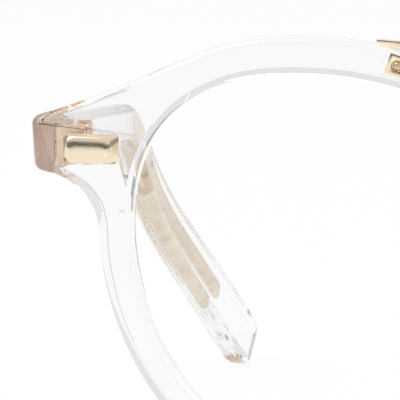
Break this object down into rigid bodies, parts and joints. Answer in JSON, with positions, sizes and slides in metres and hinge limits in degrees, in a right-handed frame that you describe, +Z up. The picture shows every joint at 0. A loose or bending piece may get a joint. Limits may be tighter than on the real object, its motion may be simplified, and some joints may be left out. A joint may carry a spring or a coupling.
{
  "type": "eyeglasses frame",
  "caption": "Clear acetate eyeglasses frame with gold bridge bars, hinges, folding temples on core wires and nose pads on arms.",
  "frame": {"origin": "centre of the width and length, on the surface that the rims and temple tips stand on", "axes": "+Z up, the front faces -Y, the temples run to +Y, the wearer's right side is at -X"},
  "size_m": [0.1452, 0.14, 0.0581],
  "materials": {
    "clear_acetate": "polished clear acetate",
    "clear_lens": "polished plano acrylic",
    "polished_gold": "satin polished pale gold",
    "hinge_gold": "pale rose gold plating",
    "rose_metal": "brushed rose gold",
    "core_gold": "drawn pale gold wire",
    "screw_gold": "turned pale gold",
    "pad_silicone": "translucent silicone",
    "lug_plastic": "moulded plastic"
  },
  "bodies": {
    "front": {"right_rim": "clear_acetate", "left_rim": "clear_acetate", "right_lens": "clear_lens", "left_lens": "clear_lens", "brow_bar": "polished_gold", "lower_bridge": "polished_gold", "bridge_screws": "screw_gold", "right_front_inlay": "polished_gold", "left_front_inlay": "polished_gold", "right_corner_plate": "rose_metal", "left_corner_plate": "rose_metal", "right_front_hinge": "hinge_gold", "left_front_hinge": "hinge_gold", "hinge_screws": "screw_gold", "right_pad_arm": "polished_gold", "left_pad_arm": "polished_gold", "pad_screws": "screw_gold"},
    "right_temple_arm": {"right_temple": "clear_acetate", "right_core_wire": "core_gold", "right_temple_hinge": "hinge_gold", "right_temple_rivets": "screw_gold"},
    "left_temple_arm": {"left_temple": "clear_acetate", "left_core_wire": "core_gold", "left_temple_hinge": "hinge_gold", "left_temple_rivets": "screw_gold"},
    "right_pad": {"right_nose_pad": "pad_silicone", "right_pad_lug": "lug_plastic"},
    "left_pad": {"left_nose_pad": "pad_silicone", "left_pad_lug": "lug_plastic"}
  },
  "joints": [
    {"name": "right_temple_fold", "type": "hinge", "parent": "front", "child": "right_temple_arm", "pos_m": [-0.0666, -0.06202, 0.0441], "axis": [0, 0, -1], "range_deg": [0, 86]},
    {"name": "left_temple_fold", "type": "hinge", "parent": "front", "child": "left_temple_arm", "pos_m": [0.0666, -0.06202, 0.0441], "axis": [0, 0, 1], "range_deg": [0, 77]},
    {"name": "right_pad_rock", "type": "hinge", "parent": "front", "child": "right_pad", "pos_m": [-0.0098, -0.05992, 0.0295], "axis": [-0.4226, 0.9063, 0], "range_deg": [-10, 10]},
    {"name": "left_pad_rock", "type": "hinge", "parent": "front", "child": "left_pad", "pos_m": [0.0098, -0.05992, 0.0295], "axis": [0.4226, 0.9063, 0], "range_deg": [-10, 10]}
  ]
}
